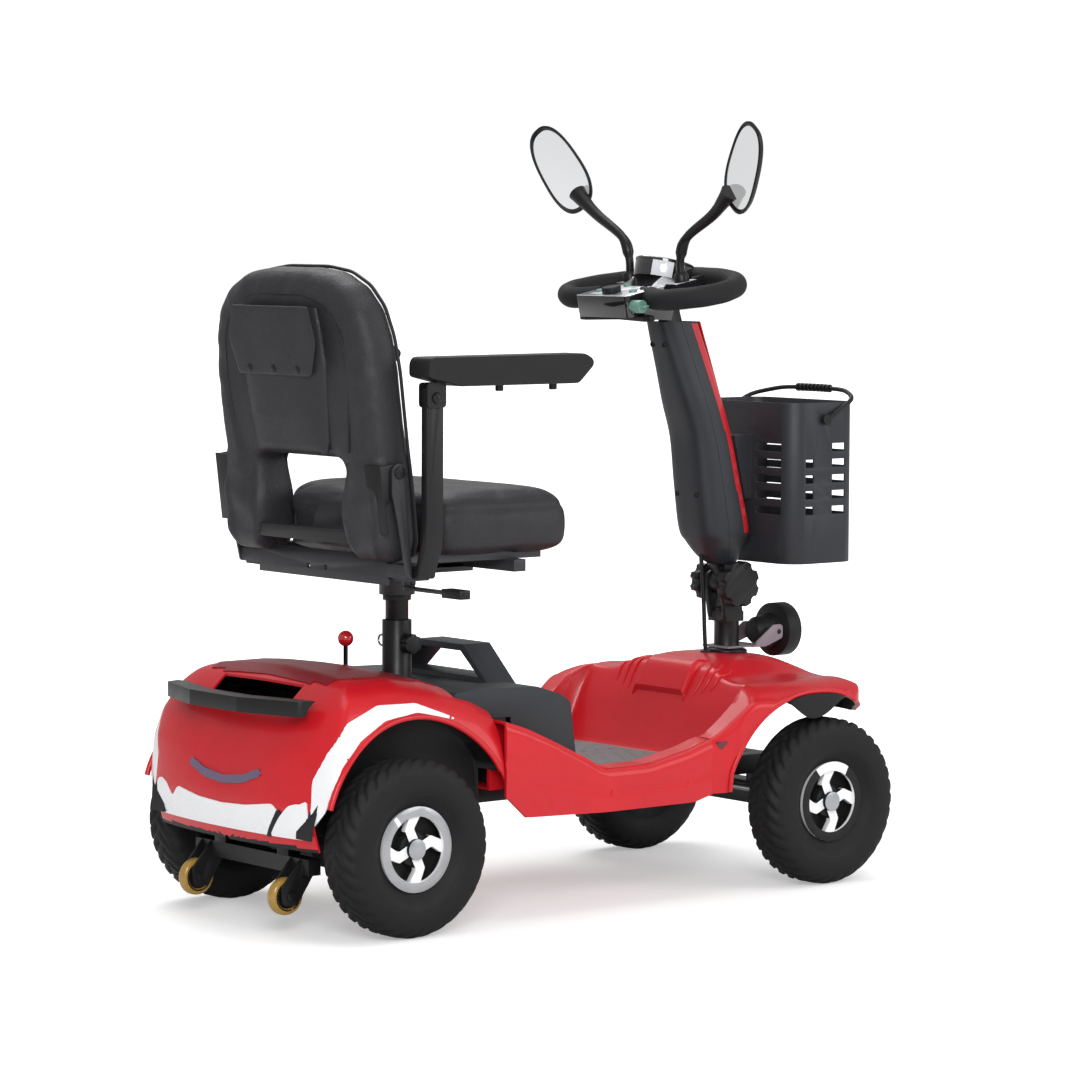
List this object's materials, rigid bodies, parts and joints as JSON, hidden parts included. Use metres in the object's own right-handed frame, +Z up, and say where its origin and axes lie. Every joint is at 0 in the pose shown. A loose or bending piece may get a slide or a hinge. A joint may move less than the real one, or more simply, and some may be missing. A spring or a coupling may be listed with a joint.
{
  "type": "mobility scooter",
  "caption": "Four-wheel electric mobility scooter with a swivel seat, folding armrests, adjustable tiller with a loop wheel, mirrors, front basket and anti-tip rollers.",
  "frame": {"origin": "on the ground, at the middle of the scooter's overall width and length", "axes": "+Z up, -Y forward (the way the rider faces), +X to the rider's left"},
  "size_m": [0.5328, 1.1865, 1.1898],
  "materials": {
    "frame_paint": "satin black powder coat",
    "red_shell": "candy red gloss moulding",
    "deep_red_shell": "deep red gloss moulding",
    "trim_white": "silver white reflective trim",
    "black_plastic": "fine grained black moulding",
    "grey_plastic": "fine grained charcoal moulding",
    "mat_rubber": "ribbed grey rubber",
    "tyre_rubber": "black tyre rubber",
    "rim_white": "white painted ring and spokes over black",
    "drive_metal": "dark cast housing",
    "controller_alloy": "finned dark aluminium",
    "bright_steel": "zinc plated steel",
    "cell_wrap": "blue battery wrap",
    "amber_pu": "translucent amber tread on a dark hub",
    "seat_steel": "dark grey painted steel",
    "seat_vinyl": "dark grey vinyl",
    "pad_black": "grained black polyurethane",
    "grip_foam": "black foam grip",
    "console_gloss": "gloss white and black panels",
    "key_green": "green key cap",
    "bracket_grey": "mauve grey paint",
    "cable_black": "black cable sheath"
  },
  "bodies": {
    "chassis": {"main_frame": "frame_paint", "centre_body": "red_shell", "footboard_mat": "mat_rubber", "front_body_cover": "red_shell", "rear_body_cover": "red_shell", "rear_top_panel": "deep_red_shell", "rear_grab_handle": "black_plastic", "rear_trim_inserts": "trim_white", "rear_arch_liners": "black_plastic", "transaxle": "drive_metal", "controller": "controller_alloy", "anti_tip_brackets": "frame_paint", "cover_screws": "bright_steel"},
    "battery": {"battery_case": "grey_plastic", "battery_cells": "cell_wrap"},
    "freewheel": {"freewheel_lever": "frame_paint"},
    "steering": {"steering_column": "frame_paint", "headlamp_bracket": "bracket_grey", "tiller_cable": "cable_black"},
    "lamp": {"headlamp": "black_plastic"},
    "left_knuckle": {"knuckle_left": "frame_paint"},
    "right_knuckle": {"knuckle_right": "frame_paint"},
    "track_rod": {"tie_rod": "bright_steel"},
    "front_left_wheel": {"tyre_front_left": "tyre_rubber", "rim_front_left": "rim_white"},
    "front_right_wheel": {"tyre_front_right": "tyre_rubber", "rim_front_right": "rim_white"},
    "rear_left_wheel": {"tyre_rear_left": "tyre_rubber", "rim_rear_left": "rim_white"},
    "rear_right_wheel": {"tyre_rear_right": "tyre_rubber", "rim_rear_right": "rim_white"},
    "left_roller": {"anti_tip_wheel_left": "amber_pu"},
    "right_roller": {"anti_tip_wheel_right": "amber_pu"},
    "post": {"seat_post": "frame_paint"},
    "lock_pin": {"post_lock_pin": "bright_steel"},
    "clamp_knob": {"post_clamp_knob": "black_plastic"},
    "seat": {"seat_frame": "seat_steel", "seat_cushion": "seat_vinyl", "armrest_frame_left": "frame_paint", "armrest_frame_right": "frame_paint"},
    "seat_release": {"swivel_lever": "black_plastic"},
    "backrest": {"backrest_frame": "seat_steel", "backrest_cushion": "seat_vinyl", "back_pocket": "seat_vinyl"},
    "left_armrest": {"armrest_pad_left": "pad_black"},
    "right_armrest": {"armrest_pad_right": "pad_black"},
    "tiller": {"tiller_mast": "bright_steel", "tiller_rear_cover": "grey_plastic", "tiller_front_cover": "grey_plastic", "tiller_strip": "red_shell", "steering_wheel": "grip_foam", "console": "console_gloss"},
    "tilt_knobs": {"tilt_lock_knobs": "black_plastic"},
    "key": {"ignition_key": "key_green"},
    "throttle": {"throttle_lever": "black_plastic"},
    "dial": {"speed_dial": "black_plastic"},
    "left_mirror": {"mirror_left": "black_plastic"},
    "right_mirror": {"mirror_right": "black_plastic"},
    "basket_body": {"basket": "grey_plastic"},
    "bail": {"basket_handle": "black_plastic"}
  },
  "joints": [
    {"name": "battery_lift", "type": "slide", "parent": "chassis", "child": "battery", "axis": [0, 0, 1], "range_m": [0, 0.03]},
    {"name": "freewheel_tilt", "type": "hinge", "parent": "chassis", "child": "freewheel", "pos_m": [0.04, 0.324, 0.198], "axis": [-1, 0, 0], "range_deg": [0, 9]},
    {"name": "steer", "type": "hinge", "parent": "chassis", "child": "steering", "pos_m": [0, -0.402, 0.3], "axis": [0, 0, 1], "range_deg": [-35, 35], "deforming": ["tiller_cable"]},
    {"name": "left_kingpin", "type": "hinge", "parent": "chassis", "child": "left_knuckle", "pos_m": [0.158, -0.402, 0.13], "axis": [0, 0, 1], "range_deg": [-35, 35]},
    {"name": "right_kingpin", "type": "hinge", "parent": "chassis", "child": "right_knuckle", "pos_m": [-0.158, -0.402, 0.13], "axis": [0, 0, 1], "range_deg": [-35, 35]},
    {"name": "tie_rod_end", "type": "hinge", "parent": "left_knuckle", "child": "track_rod", "pos_m": [0.158, -0.332, 0.15], "axis": [0, 0, 1], "range_deg": [-35, 35]},
    {"name": "front_left_spin", "type": "hinge", "parent": "left_knuckle", "child": "front_left_wheel", "pos_m": [0.224, -0.402, 0.13], "axis": [1, 0, 0], "continuous": true},
    {"name": "front_right_spin", "type": "hinge", "parent": "right_knuckle", "child": "front_right_wheel", "pos_m": [-0.224, -0.402, 0.13], "axis": [1, 0, 0], "continuous": true},
    {"name": "rear_left_spin", "type": "hinge", "parent": "chassis", "child": "rear_left_wheel", "pos_m": [0.224, 0.41, 0.13], "axis": [1, 0, 0], "continuous": true},
    {"name": "rear_right_spin", "type": "hinge", "parent": "chassis", "child": "rear_right_wheel", "pos_m": [-0.224, 0.41, 0.13], "axis": [1, 0, 0], "continuous": true},
    {"name": "left_roller_spin", "type": "hinge", "parent": "chassis", "child": "left_roller", "pos_m": [0.114, 0.545, 0.0585], "axis": [1, 0, 0], "continuous": true},
    {"name": "right_roller_spin", "type": "hinge", "parent": "chassis", "child": "right_roller", "pos_m": [-0.114, 0.545, 0.0585], "axis": [1, 0, 0], "continuous": true},
    {"name": "seat_height", "type": "slide", "parent": "chassis", "child": "post", "axis": [0, 0, 1], "range_m": [0, 0.06]},
    {"name": "post_pin_pull", "type": "slide", "parent": "chassis", "child": "lock_pin", "axis": [1, 0, 0], "range_m": [0, 0.01], "stiffness_N_per_m": 300},
    {"name": "post_clamp_turn", "type": "hinge", "parent": "chassis", "child": "clamp_knob", "pos_m": [0, 0.258, 0.4], "axis": [-1, 0, 0], "range_deg": [0, 180]},
    {"name": "seat_swivel", "type": "hinge", "parent": "post", "child": "seat", "pos_m": [0, 0.258, 0.5], "axis": [0, 0, 1], "range_deg": [-90, 90]},
    {"name": "swivel_release", "type": "hinge", "parent": "seat", "child": "seat_release", "pos_m": [-0.062, 0.282, 0.498], "axis": [0, 0, 1], "range_deg": [0, 15], "stiffness_Nm_per_rad": 1.5},
    {"name": "backrest_fold", "type": "hinge", "parent": "seat", "child": "backrest", "pos_m": [0, 0.41309, 0.67067], "axis": [1, 0, 0], "range_deg": [0, 80]},
    {"name": "left_armrest_lift", "type": "hinge", "parent": "seat", "child": "left_armrest", "pos_m": [0.236, 0.372, 0.778], "axis": [-1, 0, 0], "range_deg": [0, 90]},
    {"name": "right_armrest_lift", "type": "hinge", "parent": "seat", "child": "right_armrest", "pos_m": [-0.236, 0.372, 0.778], "axis": [-1, 0, 0], "range_deg": [0, 90]},
    {"name": "tiller_tilt", "type": "hinge", "parent": "steering", "child": "tiller", "pos_m": [0, -0.392, 0.456], "axis": [-1, 0, 0], "range_deg": [-6, 12], "deforming": ["tiller_cable"]},
    {"name": "tilt_knob_turn", "type": "hinge", "parent": "steering", "child": "tilt_knobs", "pos_m": [0, -0.392, 0.456], "axis": [1, 0, 0], "range_deg": [0, 120]},
    {"name": "lamp_tilt", "type": "hinge", "parent": "steering", "child": "lamp", "pos_m": [0, -0.482, 0.374], "axis": [1, 0, 0], "range_deg": [-12, 12]},
    {"name": "key_turn", "type": "hinge", "parent": "tiller", "child": "key", "pos_m": [-0.056, -0.15069, 0.90008], "axis": [1, 0, 0], "range_deg": [0, 60]},
    {"name": "throttle_swing", "type": "hinge", "parent": "tiller", "child": "throttle", "pos_m": [0, -0.19808, 0.88688], "axis": [0, 0.1908, 0.9816], "range_deg": [-10, 10], "stiffness_Nm_per_rad": 0.8},
    {"name": "speed_dial_turn", "type": "hinge", "parent": "tiller", "child": "dial", "pos_m": [0, -0.15942, 0.91808], "axis": [0, 0.1908, 0.9816], "range_deg": [0, 270]},
    {"name": "left_mirror_turn", "type": "hinge", "parent": "tiller", "child": "left_mirror", "pos_m": [0.062, -0.24972, 0.93563], "axis": [0, 0.1908, 0.9816], "range_deg": [-35, 35]},
    {"name": "right_mirror_turn", "type": "hinge", "parent": "tiller", "child": "right_mirror", "pos_m": [-0.062, -0.24972, 0.93563], "axis": [0, 0.1908, 0.9816], "range_deg": [-35, 35]},
    {"name": "basket_lift", "type": "slide", "parent": "tiller", "child": "basket_body", "axis": [0, 0, 1], "range_m": [0, 0.08]},
    {"name": "bail_swing", "type": "hinge", "parent": "basket_body", "child": "bail", "pos_m": [0, -0.5, 0.718], "axis": [-1, 0, 0], "range_deg": [0, 100]}
  ],
  "couplings": [
    {"joint": "left_kingpin", "follows": "steer", "ratio": 1},
    {"joint": "right_kingpin", "follows": "steer", "ratio": 1},
    {"joint": "tie_rod_end", "follows": "steer", "ratio": -1}
  ]
}
